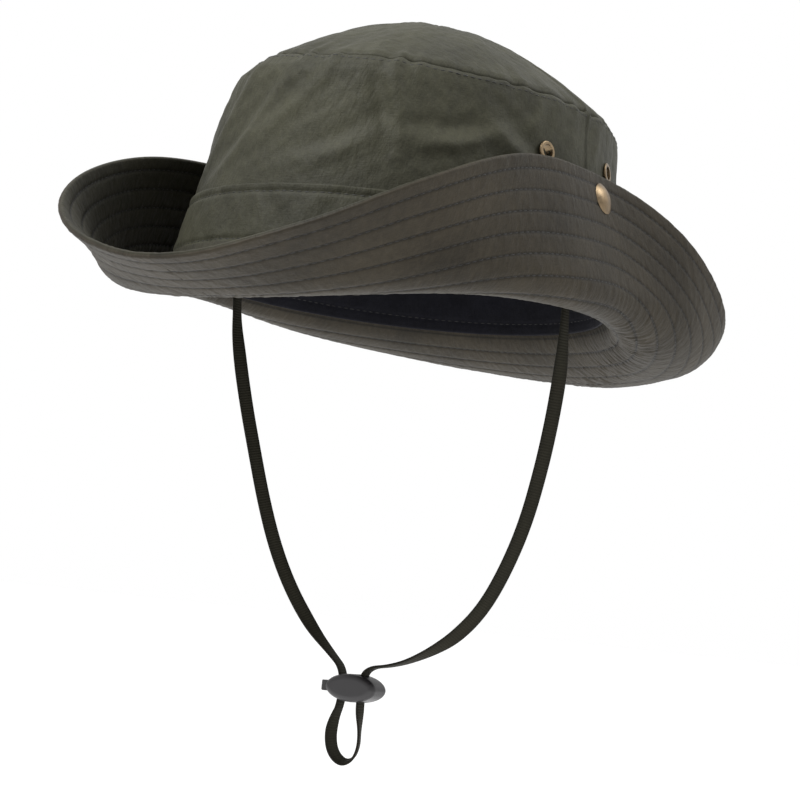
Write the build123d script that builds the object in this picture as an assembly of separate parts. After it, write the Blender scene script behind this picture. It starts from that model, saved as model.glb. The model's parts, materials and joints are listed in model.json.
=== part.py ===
from build123d import *
import os
from math import acos, atan, ceil, cos, degrees, exp, hypot, pi, radians, sin, tan

# A soft brimmed hat with snapped-up sides and a chin cord.  Millimetres, +Z up, front towards -Y,
# the wearer's left towards +X.  The origin is the middle of the head opening, in the plane where the
# crown is sewn to the brim.

# --- head opening and crown -------------------------------------------------------------------
head_half_width = 83.0
head_half_length = 101.0
wall_taper = 0.13            # how far the crown wall leans in per millimetre of height
wall_height = 74.0           # brim seam to top-panel seam
dome_height = 36.0           # top-panel seam to the highest point
dome_power = 1.8             # 2 is a parabola; lower is more pointed
crown_lean_x = 5.0           # the soft crown sags this far sideways by the top-panel seam
crown_lean_y = 5.0
cloth = 0.8
band_height = 24.0
band_cloth = 0.7
sweatband_bottom = 0.5
sweatband_top = 27.5
sweatband_cloth = 0.8
sewn_gap = 0.3               # air between two layers that follow the same curve
join_gap = 0.4               # butt joins between cut pieces

# --- brim ---------------------------------------------------------------------------------------
brim_width = 72.0            # along the cloth, from the crown seam to the edge
brim_start = 1.4             # the layers begin this far along the cloth, clear of the band
drop_mean = 70.5             # degrees that the brim first falls away from level at the crown seam
drop_lopsided = 8.0          # it falls more steeply on the wearer's left than on the right
drop_back = -18.5            # and less steeply at the back than at the front
drop_twist = 4.5
edge_angle_mean = 70.0       # slope of the brim's outer part: 0 is level, 90 stands straight up
edge_angle_sides = 37.5      # added at the sides and taken off at front and back
edge_angle_corners = -6.0
edge_angle_ripple = 1.0
edge_angle_back = 7.0        # added at the back and taken off at the front
edge_angle_back_corners = -7.5
edge_angle_lopsided = -3.5   # the wearer's right side is drawn in a little more than the left
snap_pull = 7.0              # extra lean towards the crown, close to each snap
snap_spread = 24.0           # degrees round the oval that a snap holds the brim steady over
fold_radius_mean = 20.0
fold_radius_sides = -11.8
fold_radius_back = 9.7
longest_fold = 0.98          # share of the brim's width that the fold may take
ply_cloth = 0.6
stiffener_cloth = 0.8
ply_gap = 0.18
section_spacing = 6.0        # degrees between the sections that a brim piece is drawn through
stations = 12                # points along each section

# --- side flaps: the parts of the brim that fold down when a snap is opened -----------------------
flap_bottom = 8.0            # height of the flap's lower edge
flap_front = -38.0           # degrees round the oval from the side seam to the flap's front end
flap_back = 22.0
flap_gap = 0.5
seam_gap = 0.15              # degrees left between pieces that meet at a seam

# --- snaps, eyelets, cord tabs ------------------------------------------------------------------------
snap_from_edge = 10.3
cap_radius = 6.2
cap_rise = 1.9
snap_seat = 0.3              # air left where the flat hardware meets the curved cloth
shank_radius = 1.7
shank_hole_radius = 1.8
socket_radius = 5.2
socket_depth = 3.0
socket_base = 0.8
stud_flange_radius = 4.2
stud_seat = 1.2              # the flange's middle stands this far off the slanted wall
stud_flange = 0.9
stud_neck_radius = 1.6
stud_head_radius = 2.1
stud_head = 1.6
stud_clearance = 0.9
post_flange_radius = 3.4
post_flange = 0.7
eyelet_outer_radius = 4.1
eyelet_hole_radius = 2.7
eyelet_tube_radius = 3.1
eyelet_rim = 0.8
eyelet_height = 52.8
eyelet_rise = 2.4            # the one behind the snap sits this much higher
eyelet_spacing = 49.0
eyelet_shift = -2.9          # the pair's middle, in front of the snap
tab_width = 9.0
tab_cloth = 0.6
tab_bottom = -1.0
tab_top = 8.0

# --- chin cord and toggle ---------------------------------------------------------------------------------
tape_width = 5.5
tape_thickness = 1.2
cord_y = 0.0
arc_share = 0.45             # share of the shorter run that an arc may use
cord_route = [
    (-78.4, 6.0), (-77.6, -10.0), (-72.8, -30.0), (-66.8, -49.5), (-60.6, -67.0), (-53.0, -88.0),
    (-44.6, -107.0), (-34.6, -123.5), (-22.0, -138.5), (-11.8, -147.2), (-4.7, -153.4),
    (-4.7, -166.5), (-7.2, -172.6), (-8.3, -179.2), (-6.6, -186.0), (-1.6, -190.0), (3.2, -188.6),
    (5.6, -183.4), (5.3, -176.6), (4.2, -167.0), (4.3, -154.6), (8.2, -150.9), (15.8, -149.8),
    (24.5, -147.2), (35.5, -141.8), (45.5, -135.0), (55.5, -124.0),
    (63.4, -109.0), (70.4, -90.0), (75.0, -68.0), (77.8, -48.0), (79.4, -28.5), (79.0, -10.0),
    (78.4, 6.0),
]
toggle_x = 1.4
toggle_z = -160.0
toggle_half_length = 11.6
toggle_half_depth = 5.8
toggle_half_height = 5.6
toggle_edge_rounding = 2.4
slot_half_width = 1.9
slot_half_depth = 3.3
slots_x = -0.2               # the middle of the cord's two strands
slot_spacing = 4.4           # each slot's distance from there
plunger_half_depth = 4.3
plunger_half_height = 2.1
plunger_end = 7.0            # where the plunger's inner end rests
button_proud = 2.4           # how far the button stands out of the body
button_travel = 2.0
button_rounding = 1.2
bore_clearance = 0.1
bore_end = 10.6
spring_radius = 1.6

os.makedirs("parts", exist_ok=True)


def save(name, *solids):
    """Write one node.  Several solids in one node are a group of like pieces."""
    shape = solids[0] if len(solids) == 1 else Compound(children=list(solids))
    export_step(shape, f"parts/{name}.step")


def single(shape):
    """The largest solid of a result."""
    return max(shape.solids(), key=lambda solid: solid.volume)


# ----------------------------------------------------------------------------------------------
# Crown.  Every level is an oval; the wall narrows and leans evenly up to the top-panel seam.
# ----------------------------------------------------------------------------------------------

def crown_oval(height, inset):
    """The crown's outer oval at a height on the wall, drawn in by inset."""
    narrowing = wall_taper * height + inset
    lean = height / wall_height
    outline = Ellipse(head_half_width - narrowing, head_half_length - narrowing)
    return Pos(crown_lean_x * lean, crown_lean_y * lean, height) * outline


def wall_ring(bottom, top, outer_inset, inner_inset):
    """A band of cloth that follows the crown wall between two heights."""
    outer = loft([crown_oval(bottom, outer_inset), crown_oval(top, outer_inset)])
    inner = loft([crown_oval(bottom, inner_inset), crown_oval(top, inner_inset)])
    return outer - inner


def dome_solid(inset):
    """A solid dome on the top-panel seam: each oval's height follows 1 - share ** dome_power."""
    narrowing = wall_taper * wall_height + inset
    half_width = head_half_width - narrowing
    half_length = head_half_length - narrowing
    rise = dome_height - inset
    levels = []
    for share in (1.0, 0.86, 0.7, 0.52, 0.34, 0.18, 0.07):
        height = wall_height + rise * (1.0 - share ** dome_power)
        oval = Ellipse(half_width * share, half_length * share)
        levels.append(Pos(crown_lean_x, crown_lean_y, height) * oval)
    return loft(levels)


def half_space(side):
    """Everything in front of (side -1) or behind (side +1) the side seams."""
    reach = 3.0 * head_half_length
    return Pos(0, side * (reach / 2 + join_gap / 2), 0) * Box(2 * reach, reach, 2 * reach)


# ----------------------------------------------------------------------------------------------
# Brim.  Each cross-section falls away from the crown seam, turns up round an arc (the fold) and
# runs straight to the edge.  Its slope and fold radius change smoothly round the oval.
# ----------------------------------------------------------------------------------------------

def snap_hold(theta):
    """1 at either snap, fading to 0 round the oval."""
    from_left = abs((degrees(theta) + 180) % 360 - 180)
    from_right = 180 - from_left
    return exp(-(from_left / snap_spread) ** 2) + exp(-(from_right / snap_spread) ** 2)


def start_drop(theta):
    """How steeply the brim falls away from the crown seam at an angle round the oval, in degrees."""
    odd = drop_back * sin(theta) + drop_twist * sin(2 * theta)
    return drop_mean + drop_lopsided * cos(theta) + odd * (1.0 - snap_hold(theta))


def edge_angle(theta):
    """Slope of the brim's outer part at an angle round the oval, in degrees."""
    even = (edge_angle_mean + edge_angle_sides * cos(2 * theta) + edge_angle_corners * cos(4 * theta)
            + edge_angle_ripple * cos(6 * theta) + edge_angle_lopsided * cos(theta))
    odd = edge_angle_back * sin(theta) + edge_angle_back_corners * sin(3 * theta)
    hold = snap_hold(theta)
    return even + odd * (1.0 - hold) + snap_pull * hold


def fold_radius(theta):
    """Radius of the fold's arc at an angle round the oval."""
    odd = fold_radius_back * sin(theta) * (1.0 - snap_hold(theta))
    wanted = fold_radius_mean + fold_radius_sides * cos(2 * theta) + odd
    turn = radians(edge_angle(theta) + start_drop(theta))
    return min(wanted, longest_fold * brim_width / turn)


def middle_point(theta, along):
    """A point of the brim's middle layer, along the cloth from the crown seam."""
    radius = fold_radius(theta)
    start = -radians(start_drop(theta))
    arc_length = radius * (radians(edge_angle(theta)) - start)
    slope = start + min(along, arc_length) / radius
    straight = max(along - arc_length, 0.0)
    out = radius * (sin(slope) - sin(start)) + straight * cos(slope)
    up = radius * (cos(start) - cos(slope)) + straight * sin(slope)
    normal_x = head_half_length * cos(theta)
    normal_y = head_half_width * sin(theta)
    size = hypot(normal_x, normal_y)
    x = head_half_width * cos(theta) + out * normal_x / size
    y = head_half_length * sin(theta) + out * normal_y / size
    return Vector(x, y, up)


def upper_normal(theta, along):
    """The unit normal of the middle layer, towards the brim's upper face."""
    step = radians(0.2)
    round_oval = middle_point(theta + step, along) - middle_point(theta - step, along)
    across = middle_point(theta, along + step) - middle_point(theta, along - step)
    return across.cross(round_oval).normalized()


def brim_point(theta, along, offset):
    """A point of the brim: along the cloth from the crown seam, offset towards its upper face."""
    return middle_point(theta, along) + upper_normal(theta, along) * offset


def length_to_height(theta, height):
    """How far along the cloth the brim's middle layer climbs past a height."""
    radius = fold_radius(theta)
    start = radians(start_drop(theta))
    top_slope = radians(edge_angle(theta))
    arc_top = radius * (cos(start) - cos(top_slope))
    if height <= arc_top:
        return radius * (acos(cos(start) - height / radius) + start)
    return radius * (top_slope + start) + (height - arc_top) / sin(top_slope)


def brim_piece(first, last, offset, thickness, inner=None, outer=None):
    """One closed piece of a brim layer between two angles.  inner and outer give its near and far
    limits along the cloth at an angle; they are the crown seam and the brim's edge by default."""
    count = max(3, ceil(abs(last - first) / section_spacing))
    rows = []
    for i in range(count + 1):
        theta = radians(first + (last - first) * i / count)
        near = inner(theta) if inner else brim_start
        far = outer(theta) if outer else brim_width
        row = [brim_point(theta, near + (far - near) * j / stations, offset) for j in range(stations + 1)]
        rows.append(row)
    towards_upper = -thickness if last > first else thickness
    return Solid.thicken(Face.make_surface_from_array_of_points(rows), towards_upper)


def flap_foot(theta):
    return length_to_height(theta, flap_bottom) + flap_gap


def strip_top(theta):
    return length_to_height(theta, flap_bottom) - flap_gap


def side_angle(side, angle):
    """An angle counted from a side seam towards the back, as an angle round the oval."""
    return angle if side > 0 else 180.0 - angle


# ----------------------------------------------------------------------------------------------
# Snaps.  One axis carries the cap, socket, stud and post; it is square to the flap at the snap.
# ----------------------------------------------------------------------------------------------

def snap_plane(side):
    """A plane on the brim's middle layer at the snap, with its Z axis pointing away from the crown."""
    theta = 0.0 if side > 0 else pi
    along = brim_width - snap_from_edge
    outward = -upper_normal(theta, along)
    return Plane(origin=middle_point(theta, along), x_dir=(0, 1, 0), z_dir=outward)


def disc(plane, radius, start, end):
    """A round solid on the snap's axis, between two distances from the brim's middle layer."""
    return plane * (Pos(0, 0, (start + end) / 2) * Cylinder(radius, end - start))


def wall_distance(side):
    """How far inside the brim's middle layer the crown wall's outer face lies, along the snap axis."""
    plane = snap_plane(side)
    x, z = abs(plane.origin.X), plane.origin.Z
    step_x, step_z = abs(plane.z_dir.X), plane.z_dir.Z
    inward = wall_taper - side * crown_lean_x / wall_height
    return (x - head_half_width + inward * z) / (step_x + inward * step_z)


half_brim = stiffener_cloth / 2 + ply_gap + ply_cloth


def snap_cap(side):
    """A domed cap on the outer face of the flap, with a shank through the three layers."""
    plane = snap_plane(side)
    seat = half_brim + snap_seat
    dome_ball = (cap_radius ** 2 + cap_rise ** 2) / (2 * cap_rise)
    ball = plane * (Pos(0, 0, seat + cap_rise - dome_ball) * Sphere(dome_ball))
    dome = ball & disc(plane, cap_radius, seat, seat + 2 * cap_rise)
    return single(dome + disc(plane, shank_radius, -half_brim, seat + cap_rise / 2))


def snap_socket(side):
    """The cup on the flap's inner face that grips the stud's head."""
    plane = snap_plane(side)
    top = -half_brim - snap_seat
    cup = disc(plane, socket_radius, top - socket_depth, top)
    cup = fillet(cup.edges().filter_by(GeomType.CIRCLE).sort_by(Axis(plane.origin, plane.z_dir))[0], 0.6)
    well = disc(plane, stud_head_radius + stud_clearance, top - socket_depth, top - socket_base)
    return single(cup - well)


def snap_stud(side):
    """The stud on the crown wall: a flange, a neck and a head that stands in the socket."""
    plane = snap_plane(side)
    flange_start = -wall_distance(side) + stud_seat
    head_end = -half_brim - snap_seat - socket_base - stud_clearance
    stud = disc(plane, stud_flange_radius, flange_start, flange_start + stud_flange)
    stud += disc(plane, stud_neck_radius, flange_start, head_end)
    stud += disc(plane, stud_head_radius, head_end - stud_head, head_end)
    bore = disc(plane, shank_radius / 2, flange_start, flange_start + stud_flange)
    return single(stud - bore)


def stud_post(side):
    """The rivet behind the crown wall, whose shank reaches into the stud's flange."""
    plane = snap_plane(side)
    inner = -wall_distance(side) - cloth - stud_seat
    post = disc(plane, post_flange_radius, inner - post_flange, inner)
    shank_end = -wall_distance(side) + stud_seat + stud_flange / 2
    return single(post + disc(plane, shank_radius / 2, inner - post_flange, shank_end))


def shank_hole(side):
    """The hole for the cap's shank through the brim's layers."""
    return disc(snap_plane(side), shank_hole_radius, -2 * half_brim, 2 * half_brim)


def post_hole(side):
    """The hole for the stud's post through the crown wall."""
    reach = wall_distance(side)
    return disc(snap_plane(side), shank_radius / 2 + sewn_gap, -reach - 3 * stud_seat, -reach + stud_seat)


# ----------------------------------------------------------------------------------------------
# Eyelets: two on each side of the crown, in front of and behind the snap.
# ----------------------------------------------------------------------------------------------

def eyelet_planes():
    """A plane on the crown wall's outer face at each eyelet, with its Z axis pointing outwards."""
    planes = []
    for side in (1, -1):
        for end in (-1, 1):
            y = eyelet_shift + end * eyelet_spacing / 2
            height = eyelet_height + end * eyelet_rise / 2
            lean = height / wall_height
            half_width = head_half_width - wall_taper * height
            half_length = head_half_length - wall_taper * height
            across = (1.0 - (y / half_length) ** 2) ** 0.5
            x = side * half_width * across + crown_lean_x * lean
            outward = Vector(side * across / half_width, y / half_length ** 2, 0).normalized()
            outward = Vector(outward.X, outward.Y, wall_taper)
            origin = (x, y + crown_lean_y * lean, height)
            planes.append(Plane(origin=origin, z_dir=outward))
    return planes


def eyelet(plane):
    """A rolled rim outside the wall and a tube through it."""
    seat = sewn_gap
    rim = plane * (Pos(0, 0, seat + eyelet_rim / 2) * Cylinder(eyelet_outer_radius, eyelet_rim))
    rim = fillet(rim.edges().filter_by(GeomType.CIRCLE).sort_by(Axis(plane.origin, plane.z_dir))[-1], 0.5)
    tube_length = seat + cloth + 2 * eyelet_rim
    tube = plane * (Pos(0, 0, seat - tube_length / 2) * Cylinder(eyelet_tube_radius, tube_length))
    bore = plane * Cylinder(eyelet_hole_radius, 4 * tube_length)
    return single(rim + tube - bore)


def eyelet_washer(plane):
    """The ring on the inside of the wall that the tube is rolled over."""
    start = -cloth - 2 * sewn_gap
    ring = Cylinder(eyelet_outer_radius, eyelet_rim) - Cylinder(eyelet_tube_radius, 2 * eyelet_rim)
    return single(plane * (Pos(0, 0, start - eyelet_rim / 2) * ring))


def eyelet_hole(plane):
    return plane * Cylinder(eyelet_tube_radius + ply_gap, 8 * cloth)


# ----------------------------------------------------------------------------------------------
# Chin cord: one flat tape from anchor to anchor, in the plane y = cord_y.
# ----------------------------------------------------------------------------------------------

def cord_radii(points):
    """Each corner's arc: arc_share of the shorter run, divided by the tangent of half the turn."""
    radii = []
    for before, here, after in zip(points, points[1:], points[2:]):
        run_in = Vector(*here) - Vector(*before)
        run_out = Vector(*after) - Vector(*here)
        turn = radians(run_in.get_angle(run_out))
        radii.append(arc_share * min(run_in.length, run_out.length) / tan(turn / 2))
    return radii


def chin_cord():
    """The tape swept along straight runs joined by tangent arcs."""
    points = [(x, cord_y, z) for x, z in cord_route]
    radii = cord_radii(points)
    path = FilletPolyline(*points, radius=radii)
    section = Plane(origin=path @ 0, z_dir=path % 0, x_dir=(0, 1, 0)) * Rectangle(tape_width, tape_thickness)
    tape = sweep(section, path=path)
    print("cord radii", [round(radius, 1) for radius in radii])
    print("cord length", round(path.length, 1), "volume", round(tape.volume, 1),
          "section x length", round(tape_width * tape_thickness * path.length, 1))
    return single(tape)


def cord_tab(side):
    """The sewn tab that holds one end of the cord against the sweatband."""
    inner = 2 * sewn_gap + cloth + sweatband_cloth + tab_cloth / 2
    height = tab_top - tab_bottom
    middle_z = (tab_top + tab_bottom) / 2
    lean = wall_taper - side * crown_lean_x / wall_height
    x = side * (head_half_width - lean * middle_z - inner)
    tilt = -side * degrees(atan(lean))
    return Pos(x, cord_y, middle_z) * (Rot(0, tilt, 0) * Box(tab_cloth, tab_width, height))


# ----------------------------------------------------------------------------------------------
# Toggle: an oval body with two slots for the tape.  A flat plunger runs the length of its bore; its
# two windows grip the tape when the spring at its inner end pushes it out.
# ----------------------------------------------------------------------------------------------

def block(first_x, last_x, half_depth, half_height):
    """A box between two places along the toggle, about its middle height."""
    solid = Box(last_x - first_x, 2 * half_depth, 2 * half_height)
    return Pos((first_x + last_x) / 2, cord_y, toggle_z) * solid


def slot_places():
    return (slots_x - slot_spacing, slots_x + slot_spacing)


def toggle_body():
    """An oval block with rounded edges, two upright slots and the plunger's bore."""
    body = extrude(Plane.XZ * Ellipse(toggle_half_length, toggle_half_height), toggle_half_depth, both=True)
    body = Pos(toggle_x, cord_y, toggle_z) * fillet(body.edges(), toggle_edge_rounding)
    for x in slot_places():
        body -= block(x - slot_half_width, x + slot_half_width, slot_half_depth, 2 * toggle_half_height)
    mouth = toggle_x - 2 * toggle_half_length
    bore_half_depth = plunger_half_depth + bore_clearance
    return single(body - block(mouth, bore_end, bore_half_depth, plunger_half_height + bore_clearance))


def toggle_button():
    """The plunger: a bar with two windows, whose rounded outer end is the button."""
    button_end = toggle_x - toggle_half_length - button_proud
    bar = block(button_end, plunger_end, plunger_half_depth, plunger_half_height)
    bar = fillet(bar.edges().group_by(Axis.X)[0], button_rounding)
    for x in slot_places():
        window_start = x - slot_half_width - button_travel
        bar -= block(window_start, x + slot_half_width, slot_half_depth, 2 * plunger_half_height)
    return single(bar)


def toggle_spring():
    """The spring at the plunger's inner end, as the closed sleeve that its coil fills."""
    length = bore_end - plunger_end - 2 * bore_clearance
    middle = (bore_end + plunger_end) / 2
    return Pos(middle, cord_y, toggle_z) * (Rot(0, 90, 0) * Cylinder(spring_radius, length))


# ----------------------------------------------------------------------------------------------
# Build and write every node.
# ----------------------------------------------------------------------------------------------

# crown
dome = dome_solid(0.0) - dome_solid(cloth)
save("crown_top_panel", single(dome))
wall = wall_ring(0.0, wall_height, 0.0, cloth)
wall_cuts = [post_hole(1), post_hole(-1)] + [eyelet_hole(plane) for plane in eyelet_planes()]
for cut in wall_cuts:
    wall -= cut
save("crown_side_front", single(wall & half_space(-1)))
save("crown_side_back", single(wall & half_space(1)))
band = wall_ring(0.0, band_height, -band_cloth - sewn_gap, -sewn_gap)
save("crown_band_front", single(band & half_space(-1)))
save("crown_band_back", single(band & half_space(1)))
sweatband_outer = cloth + sewn_gap
sweatband = wall_ring(sweatband_bottom, sweatband_top, sweatband_outer, sweatband_outer + sweatband_cloth)
join_slot = Pos(0, head_half_length, 0) * Box(join_gap, head_half_length, 4 * sweatband_top)
save("sweatband", single(sweatband - join_slot))

# brim layers, each cut into its fixed part and its two flaps
layers = {
    "upper": (stiffener_cloth / 2 + ply_gap, ply_cloth),
    "stiffener": (-stiffener_cloth / 2, stiffener_cloth),
    "under": (-half_brim, ply_cloth),
}
flap_ends = {"front": flap_front, "back": flap_back}
for layer, (offset, thickness) in layers.items():
    for end, far_angle in flap_ends.items():
        way = 1 if far_angle > 0 else -1
        fixed = [brim_piece(far_angle, way * 180 - far_angle, offset, thickness)]
        for side, side_name in ((1, "left"), (-1, "right")):
            seam = side_angle(side, way * seam_gap)
            flap_end = side_angle(side, far_angle - way * 2 * seam_gap)
            flap = brim_piece(seam, flap_end, offset, thickness, inner=flap_foot)
            save(f"{side_name}_flap_{layer}_{end}", single(flap - shank_hole(side)))
            strip_end = side_angle(side, far_angle - way * seam_gap / 2)
            fixed.append(brim_piece(seam, strip_end, offset, thickness, outer=strip_top))
        save(f"brim_{layer}_{end}", *fixed)

# snaps and eyelets
for side, side_name in ((1, "left"), (-1, "right")):
    save(f"{side_name}_snap_cap", snap_cap(side))
    save(f"{side_name}_snap_socket", snap_socket(side))
    save(f"{side_name}_snap_stud", snap_stud(side))
    save(f"{side_name}_stud_post", stud_post(side))
    print(side_name, "snap at", snap_plane(side).origin, "axis", snap_plane(side).z_dir,
          "wall distance", round(wall_distance(side), 2))
save("eyelets", *[eyelet(plane) for plane in eyelet_planes()])
save("eyelet_washers", *[eyelet_washer(plane) for plane in eyelet_planes()])

# cord, tabs and toggle
save("cord_tabs", cord_tab(1), cord_tab(-1))
save("chin_cord", chin_cord())
save("toggle_body", toggle_body())
save("toggle_button", toggle_button())
save("toggle_spring", toggle_spring())
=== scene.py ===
"""The looks of a soft row-stitched hat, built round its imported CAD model. Run as a script in Blender."""

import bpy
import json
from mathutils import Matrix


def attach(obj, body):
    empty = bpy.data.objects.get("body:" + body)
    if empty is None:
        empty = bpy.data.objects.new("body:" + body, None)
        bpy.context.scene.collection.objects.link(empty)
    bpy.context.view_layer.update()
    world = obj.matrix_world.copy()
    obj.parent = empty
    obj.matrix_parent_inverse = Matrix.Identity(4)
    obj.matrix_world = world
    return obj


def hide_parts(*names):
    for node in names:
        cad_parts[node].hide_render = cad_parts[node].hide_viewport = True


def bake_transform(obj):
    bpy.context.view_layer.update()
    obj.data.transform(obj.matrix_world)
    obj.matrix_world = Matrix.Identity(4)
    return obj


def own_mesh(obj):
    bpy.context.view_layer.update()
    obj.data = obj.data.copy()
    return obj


bl_info = {
    "name": "Stitched Brim Hat",
    "version": (1, 0, 0),
    "blender": (4, 5, 0),
    "location": "3D View > Sidebar > Hat",
    "description": "Builds a soft crowned hat with a row-stitched brim, snaps, eyelets and a chin tape",
    "category": "Object",
}

import json
import bmesh
import bpy
import numpy as np
from mathutils import Matrix, Vector

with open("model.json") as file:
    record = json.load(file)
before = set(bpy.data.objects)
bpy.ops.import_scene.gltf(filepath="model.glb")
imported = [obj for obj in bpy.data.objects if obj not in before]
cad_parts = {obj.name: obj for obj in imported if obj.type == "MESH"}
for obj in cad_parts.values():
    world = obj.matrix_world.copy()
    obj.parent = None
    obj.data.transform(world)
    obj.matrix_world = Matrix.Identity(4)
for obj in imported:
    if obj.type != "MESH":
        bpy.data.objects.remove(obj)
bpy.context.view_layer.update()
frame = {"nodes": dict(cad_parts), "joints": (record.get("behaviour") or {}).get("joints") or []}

MM = 0.001
TAU = 2 * np.pi
ROOT = "hat"

# ----------------------------------------------------------------------------------------------
# Sizes and colours that a user would change
# ----------------------------------------------------------------------------------------------


def length(name, text, default):
    return bpy.props.FloatProperty(name=name, description=text, default=default * MM, subtype="DISTANCE",
                                   unit="LENGTH", precision=5)


def colour(name, text, default):
    return bpy.props.FloatVectorProperty(name=name, description=text, default=default, subtype="COLOR",
                                         size=3, min=0.0, max=1.0)


def degrees_of(name, text, default):
    return bpy.props.FloatProperty(name=name, description=text, default=np.radians(default),
                                   subtype="ANGLE", unit="ROTATION")


class HatSizes(bpy.types.PropertyGroup):
    """Sizes of the crown, brim and tape."""
    head_half_width: length("Head half width", "Half the head opening, side to side", 83.0)
    head_half_length: length("Head half length", "Half the head opening, front to back", 101.0)
    wall_height: length("Wall height", "Brim seam to the crown's shoulder", 74.0)
    dome_height: length("Dome height", "Shoulder to the highest point", 36.0)
    band_height: length("Band height", "Height of the doubled strip at the crown's foot", 24.0)
    brim_width: length("Brim width", "Along the cloth, from the crown seam to the edge", 72.0)
    brim_thickness: length("Brim thickness", "Both plies and the stiffener", 2.3)
    row_pitch: length("Row pitch", "Distance between the rows of stitches", 8.0)
    first_row: length("First row", "First row of stitches, from the brim's edge", 5.5)
    stitch: length("Stitch", "Length of one stitch and its gap", 3.0)
    sweatband_height: length("Sweatband height", "Top edge of the sweatband", 27.5)
    tape_width: length("Tape width", "Width of the flat chin tape", 5.6)
    tape_thickness: length("Tape thickness", "Thickness of the flat chin tape", 1.1)


class HatColours(bpy.types.PropertyGroup):
    """Finishes of the cloth, tape and metal."""
    crown: colour("Crown cloth", "Crown and band", (0.026, 0.0255, 0.016))
    brim_under: colour("Brim under side", "Under ply of the brim", (0.021, 0.0172, 0.0112))
    brim_upper: colour("Brim upper side", "Upper ply of the brim", (0.020, 0.0185, 0.0115))
    sweatband: colour("Sweatband", "Woven tape inside the opening", (0.0035, 0.0036, 0.006))
    tape: colour("Chin tape", "Flat woven tape", (0.012, 0.011, 0.007))
    thread: colour("Thread", "Sewing thread", (0.0016, 0.0015, 0.0012))
    brass: colour("Antique brass", "Snaps and eyelets", (0.20, 0.145, 0.085))
    toggle: colour("Toggle", "Moulded plastic", (0.0065, 0.0055, 0.0065))


class StudioSettings(bpy.types.PropertyGroup):
    """Camera and stage."""
    azimuth: degrees_of("Azimuth", "Camera's turn from the front towards the wearer's left", 32.17)
    elevation: degrees_of("Elevation", "Camera's height angle", -8.1)
    roll: degrees_of("Roll", "Camera's roll", 6.0)
    distance: bpy.props.FloatProperty(name="Distance", description="Camera to the head opening",
                                      default=0.9168, subtype="DISTANCE", unit="LENGTH")
    lens: bpy.props.FloatProperty(name="Lens", description="Focal length on a 36 mm frame",
                                  default=101.5, subtype="DISTANCE_CAMERA", unit="CAMERA")
    aim_right: length("Aim right", "Picture centre, right of the head opening", 2.4)
    aim_down: length("Aim down", "Picture centre, below the head opening", 43.5)
    floor_height: length("Floor height", "Height of the floor", -330.0)


AREA_LIGHTS = {
    # name: (place, aim, diameter, power), in metres and watts
    "key": ((-0.35, -0.9, 1.3), (0, 0, 0.05), 0.4, 34.0),
    "rim": ((0.9, 0.5, 1.0), (0, 0, 0.05), 0.5, 8.0),
}
FLOOR_REACH = 40.0
CLIP = (0.01, 200.0)
SENSOR = 36.0

GROUPS = {"hat_sizes": HatSizes, "hat_colours": HatColours, "hat_studio": StudioSettings}


def sizes():
    return bpy.context.scene.hat_sizes


def colours():
    return bpy.context.scene.hat_colours


# ----------------------------------------------------------------------------------------------
# Shader maths
# ----------------------------------------------------------------------------------------------


class Value:
    """One output socket. Arithmetic on it adds Math nodes to its material."""

    def __init__(self, shade, socket):
        self.shade = shade
        self.socket = socket

    def _math(self, operation, *terms):
        node = self.shade.node("ShaderNodeMath", {"operation": operation}, dict(enumerate(terms)))
        return node.out()

    def __add__(self, other):
        return self._math("ADD", self, other)

    def __radd__(self, other):
        return self._math("ADD", other, self)

    def __sub__(self, other):
        return self._math("SUBTRACT", self, other)

    def __rsub__(self, other):
        return self._math("SUBTRACT", other, self)

    def __mul__(self, other):
        return self._math("MULTIPLY", self, other)

    def __rmul__(self, other):
        return self._math("MULTIPLY", other, self)

    def __truediv__(self, other):
        return self._math("DIVIDE", self, other)

    def __pow__(self, other):
        return self._math("POWER", self, other)

    def sine(self):
        return self._math("SINE", self)

    def clamp(self):
        return self._math("MAXIMUM", self._math("MINIMUM", self, 1.0), 0.0)


class Made:
    """A node just made; out() wraps one of its outputs."""

    def __init__(self, shade, node):
        self.shade = shade
        self.node = node

    def out(self, name=0):
        return Value(self.shade, self.node.outputs[name])


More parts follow.
